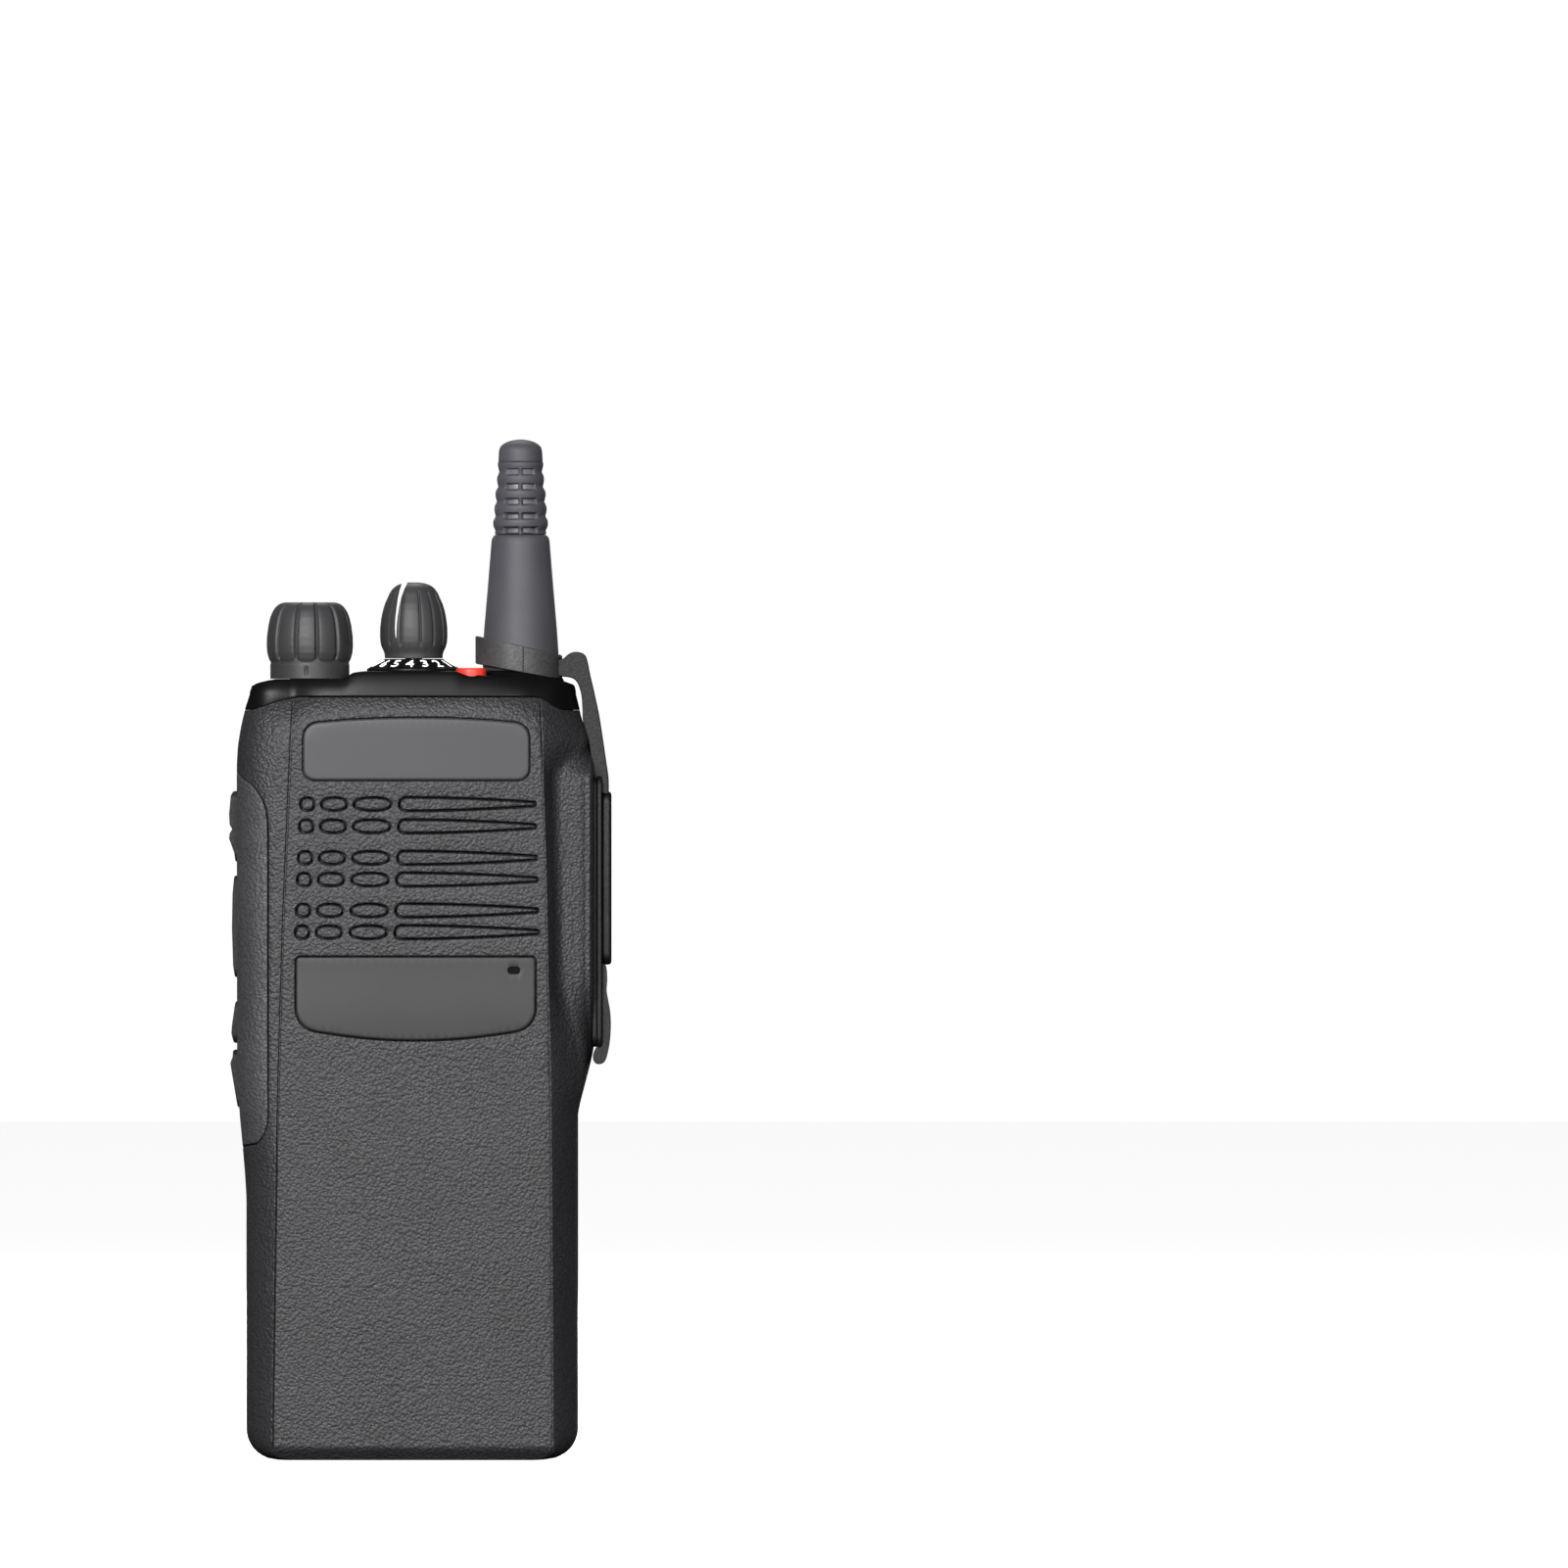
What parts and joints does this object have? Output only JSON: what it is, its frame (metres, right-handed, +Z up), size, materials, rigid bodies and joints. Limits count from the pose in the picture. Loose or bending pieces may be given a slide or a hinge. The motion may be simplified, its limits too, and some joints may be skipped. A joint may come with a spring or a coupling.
{
  "type": "handheld two-way radio",
  "caption": "Hand-held two-way radio: tall flat body with speaker grille, two top knobs, side talk keys, slide-on battery and screw-in stub antenna.",
  "frame": {"origin": "on the flat underside, at the middle of the lower body's width and depth (mount base)", "axes": "+Z up towards the antenna, -Y out of the front (speaker) face, +X to the right of someone facing the front"},
  "size_m": [0.0669, 0.0376, 0.1786],
  "materials": {
    "housing": "fine grained moulding",
    "nameplate": "smooth satin",
    "dark_plastic": "smooth satin",
    "knob": "soft satin",
    "keys": "matte",
    "rubber": "matte",
    "antenna_rubber": "satin",
    "antenna_core": "satin",
    "red_button": "satin",
    "light_pipe": "clear",
    "felt": "woven",
    "cone_paper": "matte",
    "bright_steel": "satin",
    "magnet": "matte",
    "cast_frame": "as cast",
    "brass": "satin",
    "gold": "polished",
    "board": "satin",
    "component": "matte",
    "cell_wrap": "shrink sleeve",
    "battery_plastic": "fine grained moulding",
    "label": "printed film, blank"
  },
  "bodies": {
    "radio": {"front_housing": "housing", "upper_nameplate": "nameplate", "lower_nameplate": "nameplate", "grille_insert": "housing", "speaker_felt": "felt", "speaker_frame": "bright_steel", "speaker_cone": "cone_paper", "speaker_magnet": "magnet", "microphone": "bright_steel", "mic_boot": "rubber", "top_cover": "dark_plastic", "channel_dial": "dark_plastic", "led_light_pipe": "light_pipe", "top_switch": "component", "volume_pot": "component", "channel_switch": "component", "control_nuts": "bright_steel", "antenna_socket": "brass", "ptt_bezel": "dark_plastic", "side_switch_board": "board", "switch_domes": "gold", "accessory_connector": "component", "connector_contacts": "gold", "dust_cover": "rubber", "cover_gasket": "rubber", "cover_strap": "rubber", "chassis": "cast_frame", "housing_seal": "rubber", "main_pcb": "board", "rf_shields": "bright_steel", "main_chips": "component", "chassis_screws": "bright_steel", "contact_block": "component", "spring_contacts": "gold", "rear_top_cap": "battery_plastic"},
    "volume_control": {"volume_knob": "knob", "volume_shaft": "bright_steel"},
    "channel_control": {"channel_knob": "knob", "channel_shaft": "bright_steel"},
    "emergency_key": {"emergency_button": "red_button"},
    "upper_key": {"side_button_1": "keys"},
    "talk_key": {"ptt_button": "keys"},
    "middle_key": {"side_button_2": "keys"},
    "lower_key": {"side_button_3": "keys"},
    "battery": {"battery_case": "battery_plastic", "battery_cover": "battery_plastic", "battery_cells": "cell_wrap", "battery_board": "board", "battery_contacts": "gold", "charge_contacts": "gold", "battery_label": "label"},
    "latch": {"battery_latch": "dark_plastic", "battery_catch": "bright_steel"},
    "antenna_seal": {"antenna_gasket": "rubber"},
    "antenna": {"antenna_ferrule": "brass", "antenna_boot": "antenna_rubber", "antenna_flex": "antenna_rubber", "antenna_core": "antenna_core", "antenna_tip": "antenna_rubber"}
  },
  "joints": [
    {"name": "volume_turn", "type": "hinge", "parent": "radio", "child": "volume_control", "pos_m": [-0.0179, -0.0075, 0.143], "axis": [0, 0, -1], "range_deg": [0, 280]},
    {"name": "channel_turn", "type": "hinge", "parent": "radio", "child": "channel_control", "pos_m": [0.0003, -0.0075, 0.146], "axis": [0, 0, -1], "range_deg": [-67.5, 270]},
    {"name": "emergency_press", "type": "slide", "parent": "radio", "child": "emergency_key", "axis": [0, 0, -1], "range_m": [0, 0.0008], "stiffness_N_per_m": 400, "springref_m": -0.001},
    {"name": "upper_press", "type": "slide", "parent": "radio", "child": "upper_key", "axis": [1, 0, 0], "range_m": [0, 0.0008], "stiffness_N_per_m": 500, "springref_m": -0.001},
    {"name": "talk_press", "type": "slide", "parent": "radio", "child": "talk_key", "axis": [1, 0, 0], "range_m": [0, 0.0008], "stiffness_N_per_m": 500, "springref_m": -0.001},
    {"name": "middle_press", "type": "slide", "parent": "radio", "child": "middle_key", "axis": [1, 0, 0], "range_m": [0, 0.0008], "stiffness_N_per_m": 500, "springref_m": -0.001},
    {"name": "lower_press", "type": "slide", "parent": "radio", "child": "lower_key", "axis": [1, 0, 0], "range_m": [0, 0.0008], "stiffness_N_per_m": 500, "springref_m": -0.001},
    {"name": "battery_slide", "type": "slide", "parent": "radio", "child": "battery", "axis": [0, 0, -1], "range_m": [0, 0.0127]},
    {"name": "latch_pull", "type": "slide", "parent": "radio", "child": "latch", "axis": [0, -1, 0], "range_m": [0, 0.0015], "stiffness_N_per_m": 600, "springref_m": -0.001, "deforming": ["battery_catch"]},
    {"name": "antenna_rise", "type": "slide", "parent": "radio", "child": "antenna_seal", "axis": [0, 0, 1], "range_m": [0, 0.006]},
    {"name": "antenna_turn", "type": "hinge", "parent": "antenna_seal", "child": "antenna", "pos_m": [0.019, -0.0065, 0.15], "axis": [0, 0, 1], "range_deg": [0, 2160]}
  ],
  "couplings": [
    {"joint": "antenna_turn", "follows": "antenna_rise", "rad_per_m": 6283.2}
  ]
}
